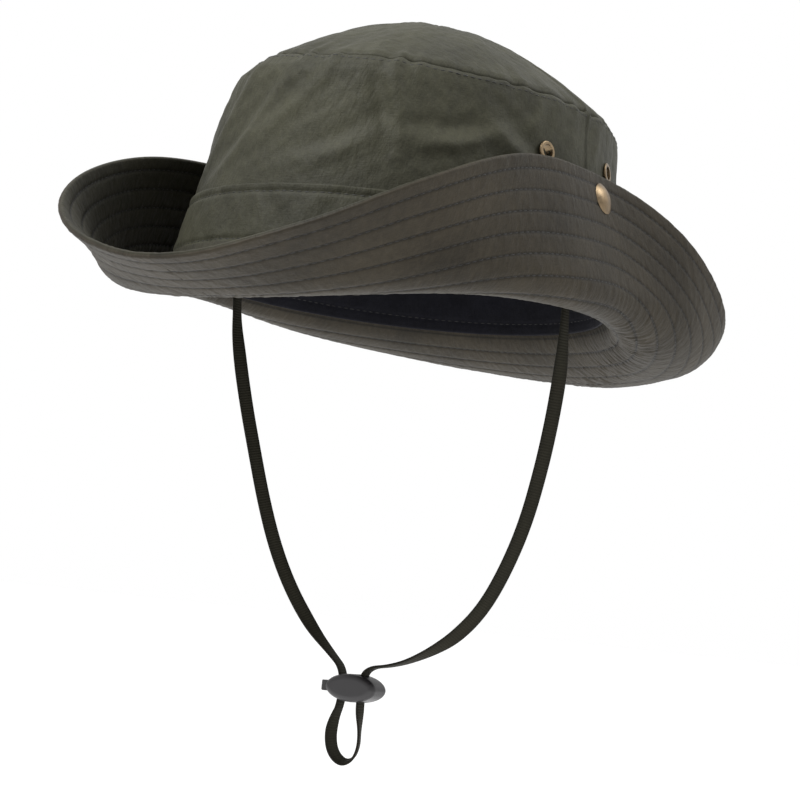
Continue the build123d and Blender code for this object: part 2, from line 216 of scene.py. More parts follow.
class Shade:
    """One material under construction."""

    def __init__(self, name):
        self.material = bpy.data.materials.new(name)
        self.material.use_nodes = True
        self.tree = self.material.node_tree
        self.tree.nodes.clear()

    def node(self, kind, settings=None, inputs=None):
        """Adds a node: its settings first, then its inputs, each a number, colour or Value."""
        node = self.tree.nodes.new(kind)
        for key, setting in (settings or {}).items():
            if key == "stops":
                self._set_stops(node, setting)
            else:
                setattr(node, key, setting)
        for key, value in (inputs or {}).items():
            if isinstance(value, Value):
                self.tree.links.new(value.socket, node.inputs[key])
            else:
                node.inputs[key].default_value = value
        return Made(self, node)

    @staticmethod
    def _set_stops(node, stops):
        elements = node.color_ramp.elements
        while len(elements) < len(stops):
            elements.new(0.5)
        for element, (place, shade) in zip(elements, stops):
            element.position = place
            element.color = (shade, shade, shade, 1.0)

    def noise(self, vector, scale, detail=3.0, roughness=0.55):
        """Cloudy noise from 0 to 1, a number."""
        made = self.node("ShaderNodeTexNoise", {"noise_dimensions": "3D"},
                         {"Vector": vector, "Scale": scale, "Detail": detail, "Roughness": roughness})
        return made.out("Fac")

    def stretched(self, vector, scale):
        """A vector scaled differently along its three axes."""
        inputs = {"Vector": vector, "Scale": scale}
        return self.node("ShaderNodeMapping", {"vector_type": "POINT"}, inputs).out()

    def ramp(self, value, stops):
        return self.node("ShaderNodeValToRGB", {"stops": stops}, {"Fac": value}).out("Color")

    def mix(self, factor, first, second):
        """A colour between two colours."""
        made = self.node("ShaderNodeMix", {"data_type": "RGBA"}, {0: factor, 6: first, 7: second})
        return made.out(2)

    def bump(self, height, strength, distance, normal=None):
        inputs = {"Height": height, "Strength": strength, "Distance": distance}
        if normal is not None:
            inputs["Normal"] = normal
        return self.node("ShaderNodeBump", None, inputs).out("Normal")

    def finish(self, **inputs):
        """The surface shader, with its inputs by name."""
        named = {key.replace("_", " "): value for key, value in inputs.items()}
        surface = self.node("ShaderNodeBsdfPrincipled", None, named)
        output = self.node("ShaderNodeOutputMaterial")
        self.tree.links.new(surface.node.outputs[0], output.node.inputs["Surface"])
        return self.material


ROW_SHADE = 0.9 * MM  # how far painted shade darkens the cloth on either side of a row of stitches, in its groove


def rgba(shade, share=1.0):
    return (shade[0] * share, shade[1] * share, shade[2] * share, 1.0)


def cloth_material(name, shade, light=1.6, dark=0.5, weave=1.0, roughness=0.6, sheen=0.02,
                   rows=False):
    """Dull crinkled nylon: fine weft lines that run round the hat, small crinkles, and cloudy colour; with
    rows, painted shade along each stitched row.
    The piece's own map runs in metres: round the hat, then across the cloth."""
    cloth = Shade(name)
    place = cloth.node("ShaderNodeUVMap", {"uv_map": "cloth"}).out()
    clouds = cloth.noise(cloth.stretched(place, (22.0, 30.0, 1.0)), 1.0, 4.0)
    slant = cloth.node("ShaderNodeMapping", {"vector_type": "POINT"},
                       {"Vector": place, "Rotation": (0.0, 0.0, 0.5), "Scale": (380.0, 210.0, 1.0)}).out()
    crinkle = cloth.noise(slant, 1.0, 3.0, 0.6)
    weft = cloth.noise(cloth.stretched(place, (240.0, 3600.0, 1.0)), 1.0, 2.0, 0.7)
    warp = cloth.noise(cloth.stretched(place, (3600.0, 500.0, 1.0)), 1.0, 2.0, 0.7)
    tone = (clouds * 0.45 + crinkle * 0.2 + weft * 0.25 + warp * 0.1).clamp()
    tone = cloth.ramp(tone, [(0.36, 0.0), (0.64, 1.0)])
    base = cloth.mix(tone, rgba(shade, dark), rgba(shade, light))
    height = crinkle * 0.8 + weft * 0.15 + warp * 0.05
    normal = cloth.bump(height, 0.6 * weave, 0.0012)
    if rows:
        across = cloth.node("ShaderNodeSeparateXYZ", None, {"Vector": place}).out("Y")
        from_edge = cloth.node("ShaderNodeMath", {"operation": "ABSOLUTE"},
                               {0: across - sizes().brim_width}).out()
        from_row = cloth.node("ShaderNodeMath", {"operation": "PINGPONG"},
                              {0: from_edge - sizes().first_row, 1: sizes().row_pitch / 2}).out()
        # Painted shade: the cloth's colour is darkened along each sewn row, where its groove lies.
        sewn = (1.0 - from_row / ROW_SHADE).clamp()
        base = cloth.mix(sewn * 0.75, base, rgba(shade, 0.12))
    return cloth.finish(Base_Color=base, Roughness=roughness, Normal=normal, Sheen_Weight=sheen,
                        Sheen_Roughness=0.45, Sheen_Tint=(0.85, 0.85, 0.78, 1.0), Specular_IOR_Level=0.14)


def tape_material(name, shade, rib=900.0):
    """Flat woven tape: close ribs across it, a darker woven edge and slight wear."""
    tape = Shade(name)
    place = tape.node("ShaderNodeUVMap", {"uv_map": "cloth"}).out()
    parts = tape.node("ShaderNodeSeparateXYZ", None, {"Vector": place})
    along, across = parts.out("X"), parts.out("Y")
    ribs = (along * (TAU * rib)).sine() * 0.5 + 0.5
    edge = ((across - 0.5) * 2.0) ** 2.0
    fuzz = tape.noise(tape.stretched(place, (1500.0, 9.0, 1.0)), 1.0, 3.0)
    clouds = tape.noise(tape.stretched(place, (60.0, 1.0, 1.0)), 1.0, 3.0)
    tone = (clouds * 0.5 + ribs * 0.25 + fuzz * 0.35 - edge * 0.45).clamp()
    base = tape.mix(tone, rgba(shade, 0.55), rgba(shade, 1.7))
    normal = tape.bump(ribs * 0.6 + fuzz * 0.5, 0.5, 0.0004)
    return tape.finish(Base_Color=base, Roughness=0.75, Normal=normal, Specular_IOR_Level=0.12)


def thread_material(name, shade):
    """Spun thread with a slight gloss."""
    thread = Shade(name)
    place = thread.node("ShaderNodeTexCoord").out("Object")
    fibre = thread.noise(place, 2500.0, 2.0)
    base = thread.mix(fibre, rgba(shade, 0.6), rgba(shade, 1.8))
    return thread.finish(Base_Color=base, Roughness=0.6, Normal=thread.bump(fibre, 0.4, 0.0002))


def brass_material(name, shade):
    """Satin antique brass: dull where it is darkened, brighter where it is rubbed."""
    metal = Shade(name)
    place = metal.node("ShaderNodeTexCoord").out("Object")
    patina = metal.noise(place, 260.0, 4.0)
    grain = metal.noise(place, 2200.0, 2.0)
    tone = metal.ramp(patina * 0.8 + grain * 0.2, [(0.3, 0.0), (0.7, 1.0)])
    base = metal.mix(tone, rgba(shade, 0.55), rgba(shade, 1.25))
    rough = grain * 0.15 + patina * 0.15 + 0.24
    normal = metal.bump(grain, 0.15, 0.0002)
    return metal.finish(Base_Color=base, Metallic=0.9, Roughness=rough, Normal=normal)


def plastic_material(name, shade, roughness=0.42):
    """Moulded plastic with a fine spark-eroded grain."""
    plastic = Shade(name)
    place = plastic.node("ShaderNodeTexCoord").out("Object")
    grain = plastic.noise(place, 2600.0, 3.0)
    clouds = plastic.noise(place, 180.0, 3.0)
    base = plastic.mix(clouds, rgba(shade, 0.8), rgba(shade, 1.5))
    rough = clouds * 0.18 + roughness - 0.08
    return plastic.finish(Base_Color=base, Roughness=rough, Normal=plastic.bump(grain, 0.25, 0.0002))


# ----------------------------------------------------------------------------------------------
# The hat's surfaces. Each takes an angle round the oval, from the wearer's left towards the back.
# ----------------------------------------------------------------------------------------------

WALL_TAPER = 0.13
CROWN_LEAN = np.array([5.0, 5.0]) * MM
DOME_POWER = 1.8
DROP = {"mean": 70.5, "lopsided": 8.0, "back": -18.5, "twist": 4.5}
EDGE_ANGLE = {"mean": 70.0, "sides": 37.5, "corners": -6.0, "ripple": 1.0, "lopsided": -3.5}
EDGE_ANGLE_BACK = {"back": 7.0, "back_corners": -7.5}
SNAP_PULL, SNAP_SPREAD = 7.0, 24.0
FOLD_RADIUS = {"mean": 20.0, "sides": -11.8, "back": 9.7}
LONGEST_FOLD = 0.98
TUCK = -1.6 * MM  # the brim's inner edge is sewn in, behind the band


def smoothstep(low, high, x):
    t = np.clip((x - low) / (high - low), 0.0, 1.0)
    return t * t * (3.0 - 2.0 * t)


def snap_hold(theta):
    """1 at either snap, falling away as a bell curve round the oval."""
    from_left = np.abs((np.degrees(theta) + 180.0) % 360.0 - 180.0)
    from_right = 180.0 - from_left
    return np.exp(-(from_left / SNAP_SPREAD) ** 2) + np.exp(-(from_right / SNAP_SPREAD) ** 2)


def start_drop(theta):
    """How steeply the brim falls away from the crown seam: steeper at the front and on the left."""
    odd = DROP["back"] * np.sin(theta) + DROP["twist"] * np.sin(2 * theta)
    return np.radians(DROP["mean"] + DROP["lopsided"] * np.cos(theta) + odd * (1.0 - snap_hold(theta)))


def edge_angle(theta):
    """Slope of the brim's outer part: a mean plus cosines of 1, 2, 4 and 6 times the angle, and sines
    of 1 and 3 times it that stop at the snaps."""
    even = (EDGE_ANGLE["mean"] + EDGE_ANGLE["sides"] * np.cos(2 * theta)
            + EDGE_ANGLE["corners"] * np.cos(4 * theta) + EDGE_ANGLE["ripple"] * np.cos(6 * theta)
            + EDGE_ANGLE["lopsided"] * np.cos(theta))
    odd = EDGE_ANGLE_BACK["back"] * np.sin(theta) + EDGE_ANGLE_BACK["back_corners"] * np.sin(3 * theta)
    hold = snap_hold(theta)
    return np.radians(even + odd * (1.0 - hold) + SNAP_PULL * hold)


def fold_radius(theta):
    """Radius of the brim's fold: a mean plus a cosine of twice the angle and a sine of it."""
    odd = FOLD_RADIUS["back"] * np.sin(theta) * (1.0 - snap_hold(theta))
    wanted = (FOLD_RADIUS["mean"] + FOLD_RADIUS["sides"] * np.cos(2 * theta) + odd) * MM
    return np.minimum(wanted, LONGEST_FOLD * sizes().brim_width / (edge_angle(theta) + start_drop(theta)))


def brim_middle(theta, along):
    """The brim's middle layer: it leaves the crown seam falling steeply, turns up round an arc of the
    fold radius until it reaches the edge angle, and runs straight to the edge."""
    a, b = sizes().head_half_length, sizes().head_half_width
    radius = fold_radius(theta)
    drop = start_drop(theta)
    arc = radius * (edge_angle(theta) + drop)
    slope = -drop + np.minimum(along, arc) / radius
    straight = np.maximum(along - arc, 0.0)
    out = radius * (np.sin(slope) + np.sin(drop)) + straight * np.cos(slope)
    up = radius * (np.cos(drop) - np.cos(slope)) + straight * np.sin(slope)
    normal = np.stack([a * np.cos(theta), b * np.sin(theta)], -1)
    normal /= np.linalg.norm(normal, axis=-1)[..., None]
    x = b * np.cos(theta) + out * normal[..., 0]
    y = a * np.sin(theta) + out * normal[..., 1]
    return np.stack([x, y, up], -1)


def steps(surface, theta, across, step=2e-4):
    """The two unit directions along a surface and its unit normal, by small steps either way."""
    ahead = surface(theta + step * 10, across) - surface(theta - step * 10, across)
    over = surface(theta, across + step) - surface(theta, across - step)
    ahead /= np.linalg.norm(ahead, axis=-1)[..., None]
    over /= np.linalg.norm(over, axis=-1)[..., None]
    normal = np.cross(ahead, over)
    normal /= np.linalg.norm(normal, axis=-1)[..., None]
    return ahead, over, normal


class Ripples:
    """Smooth random ripples over a map in metres: a sum of sine waves with seeded directions."""

    def __init__(self, seed, wavelengths, aspect, count=14):
        draw = np.random.default_rng(seed)
        self.aspect = aspect
        self.waves = TAU / draw.uniform(*wavelengths, count)
        self.turns = draw.uniform(-0.9, 0.9, count)
        self.phases = draw.uniform(0, TAU, count)

    def __call__(self, u, v):
        """The sum of sines of distance along each wave's direction, about -1 to 1."""
        total = np.zeros(np.broadcast(u, v).shape)
        for wave, turn, phase in zip(self.waves, self.turns, self.phases):
            total += np.sin(wave * (u * np.cos(turn) + v * self.aspect * np.sin(turn)) + phase)
        return total / np.sqrt(len(self.waves))


ROW_COUNT = 8
GROOVE_WIDTH = 0.75 * MM
PLAIN_EDGE = 2.5 * MM     # outside the first row the edge has no groove beyond this
CREASE_WIDTH = 11 * MM    # how far the creases reach either side of the tight fold
ROW_SHIFT = 31 * MM       # moves the puckers on between one row and the next
# Heights of the brim's relief, in millimetres.
PUFF, GROOVE_DEPTH, PUCKER, FINE_PUCKER, CREASE, WAVE = 0.08, 0.34, 0.07, 0.055, 0.22, 0.4


def bell(distance, width):
    """1 at no distance, falling away smoothly either side."""
    return np.exp(-(distance / width) ** 2)


def row_places():
    """Distances along the cloth of the stitched rows, edge row first."""
    group = sizes()
    return [group.brim_width - group.first_row - group.row_pitch * i for i in range(ROW_COUNT)]


def row_groove(along):
    """1 on a stitched row, falling away as a bell either side; 0 in the plain edge strip."""
    group = sizes()
    from_row = (group.brim_width - group.first_row - along + group.row_pitch / 2) % group.row_pitch
    groove = bell(from_row - group.row_pitch / 2, GROOVE_WIDTH)
    edge_strip = along > group.brim_width - group.first_row + PLAIN_EDGE
    return np.where(edge_strip, 0.0, groove)


def oval_length(theta):
    """Distance round the head opening, near enough for a map: its mean radius times the angle."""
    group = sizes()
    return (group.head_half_length + group.head_half_width) / 2 * theta


# Puckers across the rows, fine puckers, and a slow wave of the whole brim.
brim_pucker = Ripples(11, (5.0 * MM, 12 * MM), 0.8)
brim_pucker_fine = Ripples(12, (2.2 * MM, 4.5 * MM), 0.9)
brim_wave = Ripples(13, (28 * MM, 70 * MM), 0.8)


def from_side_seam(theta):
    """Distance from the nearer end of the brim's halves, where the relief fades so that they meet."""
    return np.abs(np.cos(theta)) * sizes().head_half_width


def brim_relief(theta, along):
    """Height of the cloth over its plain face: quilted between rows, drawn in at each row, puckered
    across the rows, and creased where the fold is tight."""
    group = sizes()
    groove = row_groove(along)
    u = oval_length(theta) * 1.5
    shift = np.floor((group.brim_width - group.first_row - along) / group.row_pitch) * ROW_SHIFT
    slanted = u + shift + along * 0.5
    pucker = brim_pucker(slanted, along) * PUCKER + brim_pucker_fine(slanted, along) * FINE_PUCKER
    tight = bell(along - fold_radius(theta) * 1.7, CREASE_WIDTH)
    tight *= smoothstep(0.45, 0.95, np.abs(np.cos(theta + np.radians(-14))))
    crease = brim_pucker_fine(u * 0.8, along * 0.25) * CREASE * tight
    fade = smoothstep(0.0, 9 * MM, from_side_seam(theta))
    return MM * (PUFF - GROOVE_DEPTH * groove + (pucker * (1.0 - 0.6 * groove) + crease) * fade)


def brim_face(theta, along, side):
    """A face of the brim: side +1 is the upper face, -1 the under face. The middle layer moved along
    its normal by half the thickness and the relief, plus a slow wave of the whole brim."""
    group = sizes()
    _, _, normal = steps(brim_middle, theta, along)
    lift = (group.brim_thickness / 2 + brim_relief(theta + side * 0.7, along)) * side
    loose = smoothstep(20 * MM, group.brim_width, along) * smoothstep(0.0, 20 * MM, from_side_seam(theta))
    wave = brim_wave(oval_length(theta) * 1.3, along) * WAVE * MM * loose * (1.0 - snap_hold(theta))
    return brim_middle(theta, along) - normal * (lift + wave)[..., None]


# ----------------------------------------------------------------------------------------------
# Meshes
# ----------------------------------------------------------------------------------------------


def grid_faces(rows, columns, wrap_columns=False):
    """Quads of a grid of rows by columns, row by row; the last column joins the first if wrapped."""
    last = columns if wrap_columns else columns - 1
    r, c = np.meshgrid(np.arange(rows - 1), np.arange(last), indexing="ij")
    n = (c + 1) % columns
    quads = np.stack([r * columns + c, r * columns + n, (r + 1) * columns + n, (r + 1) * columns + c], -1)
    return quads.reshape(-1, 4)


def mesh_piece(name, points, faces, materials, uv=None, face_materials=None):
    """A mesh object at the origin. uv is one pair per point; faces is a list of equal polygons."""
    points = np.asarray(points, float).reshape(-1, 3)
    faces = np.asarray(faces, int)
    corners = faces.shape[1]
    mesh = bpy.data.meshes.new(name)
    mesh.vertices.add(len(points))
    mesh.vertices.foreach_set("co", points.ravel())
    mesh.loops.add(faces.size)
    mesh.loops.foreach_set("vertex_index", faces.ravel().astype(np.int32))
    mesh.polygons.add(len(faces))
    mesh.polygons.foreach_set("loop_start", np.arange(0, faces.size, corners, dtype=np.int32))
    mesh.polygons.foreach_set("use_smooth", np.full(len(faces), True))
    mesh.update(calc_edges=True)
    if uv is not None:
        layer = mesh.uv_layers.new(name="cloth")
        layer.data.foreach_set("uv", np.asarray(uv, float).reshape(-1, 2)[faces.ravel()].ravel())
    for material in materials:
        mesh.materials.append(material)
    if face_materials is not None:
        mesh.polygons.foreach_set("material_index", np.asarray(face_materials, np.int32))
    mesh.validate()
    piece = bpy.data.objects.new(name, mesh)
    bpy.context.scene.collection.objects.link(piece)
    return piece


def dash_shape():
    """One stitch: a rounded bar along X with unit length and unit width, open underneath."""
    ends = np.array([-0.5, -0.38, 0.0, 0.38, 0.5])
    swell = np.array([0.0, 0.75, 1.0, 0.75, 0.0])
    turn = np.radians([0.0, 60.0, 120.0, 180.0])
    x = np.repeat(ends[:, None], 4, 1)
    y = swell[:, None] * np.cos(turn)[None] * 0.5
    z = swell[:, None] * np.sin(turn)[None] - 0.35
    return np.stack([x, y, z], -1).reshape(-1, 3), grid_faces(5, 4, wrap_columns=True)


def stitches(name, centres, ahead, over, up, length_along, width, height, material):
    """Many stitches: each copy of the bar is its shape times the three directions at its centre."""
    shape, quads = dash_shape()
    count = len(centres)
    sized = shape * np.array([length_along, width, height])
    points = (centres[:, None] + sized[None, :, :1] * ahead[:, None] + sized[None, :, 1:2] * over[:, None]
              + sized[None, :, 2:3] * up[:, None])
    faces = (quads[None] + (np.arange(count) * len(shape))[:, None, None]).reshape(-1, 4)
    return mesh_piece(name, points, faces, [material])


def even_angles(curve, first, last, pitch):
    """Angles at even distances along a curve of the angle."""
    fine = np.linspace(first, last, 1500)
    line = curve(fine)
    run = np.concatenate([[0.0], np.cumsum(np.linalg.norm(np.diff(line, axis=0), axis=1))])
    count = max(2, int(run[-1] / pitch))
    return np.interp((np.arange(count) + 0.5) / count * run[-1], run, fine)


def closed_ring(name, surface, levels, thickness, materials, columns=560):
    """A band round the hat: the outer face of surface(theta, level), an inner face set in by the
    thickness along its normal, and both joined at the top and bottom edges."""
    theta = np.linspace(0, TAU, columns, endpoint=False)
    t, v = np.meshgrid(theta, levels)
    outer = surface(t, v)
    _, _, normal = steps(surface, t, v)
    inner = outer - normal * thickness
    middle_low = (outer[:1] + inner[:1]) / 2 + (outer[:1] - outer[1:2]) * 0.3
    middle_high = (outer[-1:] + inner[-1:]) / 2 + (outer[-1:] - outer[-2:-1]) * 0.3
    rows = np.concatenate([middle_low, outer, middle_high, inner[::-1]], 0)
    v_rows = np.concatenate([v[:1], v, v[-1:], v[::-1]], 0)
    t_rows = np.concatenate([t[:1], t, t[-1:], t[::-1]], 0)
    count = len(rows)
    faces = grid_faces(count, columns, wrap_columns=True)
    c = np.arange(columns)
    last = (count - 1) * columns
    closing = np.stack([last + c, last + (c + 1) % columns, (c + 1) % columns, c], -1)
    uv = np.stack([oval_length(t_rows), v_rows], -1)
    return mesh_piece(name, rows, np.concatenate([faces, closing]), materials, uv)


# ----------------------------------------------------------------------------------------------
# Chin tape
# ----------------------------------------------------------------------------------------------

CORD_ROUTE = [
    (-78.4, 6.0), (-77.6, -10.0), (-72.8, -30.0), (-66.8, -49.5), (-60.6, -67.0), (-53.0, -88.0),
    (-44.6, -107.0), (-34.6, -123.5), (-22.0, -138.5), (-11.8, -147.2), (-4.7, -153.4),
    (-4.7, -166.5), (-7.2, -172.6), (-8.3, -179.2), (-6.6, -186.0), (-1.6, -190.0), (3.2, -188.6),
    (5.6, -183.4), (5.3, -176.6), (4.2, -167.0), (4.3, -154.6), (8.2, -150.9), (15.8, -149.8),
    (24.5, -147.2), (35.5, -141.8), (45.5, -135.0), (55.5, -124.0),
    (63.4, -109.0), (70.4, -90.0), (75.0, -68.0), (77.8, -48.0), (79.4, -28.5), (79.0, -10.0),
    (78.4, 6.0),
]


def tape_line():
    """The tape's centre line: points read from a smooth spline through the route's control points."""
    curve = bpy.data.curves.new("tape_line", "CURVE")
    curve.dimensions = "3D"
    spline = curve.splines.new("NURBS")
    spline.points.add(len(CORD_ROUTE) - 1)
    for point, (x, z) in zip(spline.points, CORD_ROUTE):
        point.co = (x * MM, 0.0, z * MM, 1.0)
    spline.order_u = 3
    spline.use_endpoint_u = True
    spline.resolution_u = 12
    holder = bpy.data.objects.new("tape_line", curve)
    bpy.context.scene.collection.objects.link(holder)
    bpy.context.view_layer.update()
    line = bpy.data.meshes.new_from_object(holder)
    points = np.array([vertex.co for vertex in line.vertices])
    bpy.data.objects.remove(holder)
    bpy.data.meshes.remove(line)
    bpy.data.curves.remove(curve)
    return points


LOOP_TOP, SLOTS_TOP = -0.1665, -0.1535  # heights where the tape leaves and enters the toggle
TAPE_SIDES = 20
TAPE_POINTS = 620
LEFT_FACING, RIGHT_FACING = np.radians(48.0), np.radians(-52.0)
LOOP_TURN = np.radians(24.0)
SWAY, SWAYS = 0.10, 60.0      # how far the width rocks along a strand, and its turns per metre
SEWN_FLAT, HANGING = 0.012, 0.045  # distances from an end between which the tape turns to face out
ANCHOR_TO_TOGGLE = 0.163


def even_points(line, count):
    """The line's points at even distances along it, and those distances."""
    run = np.concatenate([[0.0], np.cumsum(np.linalg.norm(np.diff(line, axis=0), axis=1))])
    even = np.linspace(0, run[-1], count)
    return np.stack([np.interp(even, run, line[:, i]) for i in range(3)], -1), even


def tape_turn(path, even):
    """Angle of the tape's width from the front-to-back direction. It lies flat where it is sewn and in
    the toggle, faces the front-left along each strand, and turns over in the loop."""
    from_end = np.minimum(even, even[-1] - even)
    hang = smoothstep(SEWN_FLAT, HANGING, from_end)
    hang *= smoothstep(SLOTS_TOP + 2 * MM, SLOTS_TOP + 24 * MM, path[:, 2])
    facing = np.where(even < even[-1] / 2, LEFT_FACING, RIGHT_FACING)
    sway = np.sin(even * SWAYS) * SWAY * hang
    loop = smoothstep(LOOP_TOP - 1 * MM, LOOP_TOP - 12 * MM, path[:, 2])
    return facing * hang + sway + loop * LOOP_TURN


def tape_tube(path, even):
    """The tape as a tube round its path: a flat rounded oval, width across and thickness through."""
    group = sizes()
    ahead = np.gradient(path, axis=0)
    ahead /= np.linalg.norm(ahead, axis=1)[:, None]
    flat = np.array([0.0, 1.0, 0.0])
    angle = tape_turn(path, even)[:, None]
    wide = flat * np.cos(angle) + np.cross(ahead, flat) * np.sin(angle)
    thick = np.cross(wide, ahead)
    around = np.linspace(0, TAU, TAPE_SIDES, endpoint=False)
    side = np.sign(np.cos(around)) * np.abs(np.cos(around)) ** 0.35 * group.tape_width / 2
    face = np.sign(np.sin(around)) * np.abs(np.sin(around)) ** 0.6 * group.tape_thickness / 2
    points = path[:, None] + side[None, :, None] * wide[:, None] + face[None, :, None] * thick[:, None]
    uv = np.stack([np.repeat(even, TAPE_SIDES), np.tile(side / group.tape_width + 0.5, len(path))], -1)
    return points.reshape(-1, 3), uv


def tube_caps(rings, sides):
    """Triangles that close a tube at both ends, with the two end points numbered after its rings."""
    ring = np.arange(sides)
    last = (rings - 1) * sides
    near = np.stack([np.full(sides, rings * sides), (ring + 1) % sides, ring], -1)
    far = np.stack([np.full(sides, rings * sides + 1), last + ring, last + (ring + 1) % sides], -1)
    return np.concatenate([near, far])


class HAT_OT_chin_tape(bpy.types.Operator):
    """Make the flat chin tape with its loop"""
    bl_idname = "hat.chin_tape"
    bl_label = "Chin tape"

    def execute(self, context):
        path, even = even_points(tape_line(), TAPE_POINTS)
        total = float(even[-1])
        points, uv = tape_tube(path, even)
        points = np.concatenate([points, path[:1], path[-1:]])
        uv = np.concatenate([uv, [[0.0, 0.5], [total, 0.5]]])
        faces = grid_faces(len(path), TAPE_SIDES, wrap_columns=True)
        piece = mesh_piece("chin_tape", points, faces, [tape_material("cord_tape", colours().tape)], uv)
        cap_mesh(piece, tube_caps(len(path), TAPE_SIDES))
        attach(piece, "chin_cord")
        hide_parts("chin_cord")
        keep = (ANCHOR_TO_TOGGLE - slide_travel()) / ANCHOR_TO_TOGGLE
        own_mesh(piece)
        return {"FINISHED"}


def slide_travel():
    """How far the toggle slides up the tape, from the frame."""
    joint = next(joint for joint in frame["joints"] if joint["name"] == "toggle_slide")
    return joint["range_m"][1]


def cap_mesh(piece, triangles):
    """Add triangles that close a tube's ends, and turn all faces outwards."""
    work = bmesh.new()
    work.from_mesh(piece.data)
    work.verts.ensure_lookup_table()
    for triangle in triangles:
        face = work.faces.new([work.verts[i] for i in triangle])
        face.smooth = True
    bmesh.ops.recalc_face_normals(work, faces=work.faces)
    work.to_mesh(piece.data)
    work.free()


# ----------------------------------------------------------------------------------------------
# Brim
# ----------------------------------------------------------------------------------------------

BRIM_SIDES = {"left": (-np.pi / 2, np.pi / 2), "right": (np.pi / 2, 3 * np.pi / 2)}


def brim_samples():
    """Distances along the cloth, close together at each stitched row."""
    group = sizes()
    offsets = np.array([-4.0, -2.6, -1.5, -0.8, -0.35, 0.0, 0.35, 0.8, 1.5, 2.6]) * MM
    places = [row + offset for row in row_places() for offset in offsets]
    edge = [group.brim_width - share * MM for share in (1.2, 0.8, 0.35, 0.0)]
    places = [place for place in places if 0.8 * MM < place < group.brim_width - 1.5 * MM]
    return np.array(sorted([TUCK, *places, *edge]))


def brim_shell(side):
    """A closed shell over half the brim: its under face out to the edge, round the edge, and back
    along its upper face."""
    group = sizes()
    first, last = BRIM_SIDES[side]
    theta = np.linspace(first, last, 420)
    along = brim_samples()
    rounding = np.clip((group.brim_width - along) / (1.2 * MM), 0.0, 1.0)
    rounding = np.sqrt(1.0 - (1.0 - rounding) ** 2) * 0.75 + 0.25
    t, s = np.meshgrid(theta, along, indexing="ij")
    under, upper = brim_face(t, s, -1), brim_face(t, s, 1)
    middle = (under + upper) / 2
    under = middle + (under - middle) * rounding[None, :, None]
    upper = middle + (upper - middle) * rounding[None, :, None]
    groove = middle[:, -1:] - (middle[:, -1:] - middle[:, -2:-1]) * 0.8
    rows = np.concatenate([under, groove, upper[:, ::-1]], 1)
    columns = rows.shape[1]
    s_rows = np.concatenate([along, [group.brim_width], 2 * group.brim_width - along[::-1]])
    uv = np.stack(np.broadcast_arrays(oval_length(theta)[:, None] * 1.5, s_rows[None]), -1)
    quads = grid_faces(len(theta), columns, wrap_columns=True)
    face_columns = np.tile(np.arange(columns), len(theta) - 1)
    is_upper = (face_columns >= len(along)).astype(int)
    n = len(along)
    low, high = np.arange(n - 1), columns - 1 - np.arange(n - 1)
    cap = np.stack([low, low + 1, high - 1, high], -1)
    end_start = rows[0].copy()
    end_last = rows[-1].copy()
    base = len(theta) * columns
    faces = np.concatenate([quads, base + cap, base + columns + cap[:, ::-1]])
    points = np.concatenate([rows.reshape(-1, 3), end_start, end_last])
    uv = np.concatenate([uv.reshape(-1, 2), uv[0], uv[-1]])
    face_materials = np.concatenate([is_upper, np.zeros(2 * len(cap), int)])
    return points, faces, uv, face_materials


def flap_blend(piece):
    """Bake the piece's placement into its mesh, leaving the object at the origin."""
    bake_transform(piece)


class HAT_OT_brim(bpy.types.Operator):
    """Make the brim's two halves, each one closed shell of upper and under cloth"""
    bl_idname = "hat.brim"
    bl_label = "Brim"

    def execute(self, context):
        group = sizes()
        under = cloth_material("brim_under_cloth", colours().brim_under, rows=True)
        upper = cloth_material("brim_upper_cloth", colours().brim_upper, rows=True)
        layers = ("upper", "stiffener", "under")
        for side in BRIM_SIDES:
            points, faces, uv, kinds = brim_shell(side)
            piece = mesh_piece(f"brim_{side}", points, faces, [under, upper], uv, kinds)
            flap_blend(piece)
            nodes = [f"{side}_flap_{layer}_{end}" for layer in layers for end in ("front", "back")]
            if side == "left":
                nodes += [f"brim_{layer}_{end}" for layer in layers for end in ("front", "back")]
            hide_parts(*nodes)
        return {"FINISHED"}


STITCH_SHARE = 0.72                            # of the pitch that the thread shows
STITCH_SIZE = (0.5 * MM, 0.28 * MM)            # width and height


def brim_row(row, face, first, last):
    """Where the stitches of one row on one face of the brim lie: centres and three directions."""
    def surface(theta, along):
        return brim_face(theta, along, face)

    theta = even_angles(lambda angle: surface(angle, np.full_like(angle, row)), first, last, sizes().stitch)
    along = np.full_like(theta, row)
    ahead, over, normal = steps(surface, theta, along)
    return surface(theta, along), ahead, over, -normal * face


class HAT_OT_brim_stitches(bpy.types.Operator):
    """Sew the rows of stitches round both faces of the brim"""
    bl_idname = "hat.brim_stitches"
    bl_label = "Brim stitches"

    def execute(self, context):
        thread = thread_material("brim_thread", colours().thread)
        for side, (first, last) in BRIM_SIDES.items():
            rows = [brim_row(row, face, first, last) for face in (-1, 1) for row in row_places()]
            centres, ahead, over, up = (np.concatenate(part) for part in zip(*rows))
            piece = stitches(f"brim_stitches_{side}", centres, ahead, over, up,
                             sizes().stitch * STITCH_SHARE, *STITCH_SIZE, thread)
            flap_blend(piece)
        return {"FINISHED"}


# ----------------------------------------------------------------------------------------------
# Crown
# ----------------------------------------------------------------------------------------------

crown_crumple = Ripples(31, (26 * MM, 70 * MM), 1.3)
crown_crinkle = Ripples(32, (6 * MM, 15 * MM), 2.2)
seam_gather = Ripples(33, (7 * MM, 16 * MM), 0.1)
SEAM_SHARE = 0.985
EYELET_SHIFT = 2.0  # the eyelet pairs' middle, behind the head opening's, in millimetres
HOLE_RADIUS = 2.9
COLUMNS, WALL_ROWS, TOP_ROWS = 480, 90, 76  # points round the crown, up its wall and in over its top


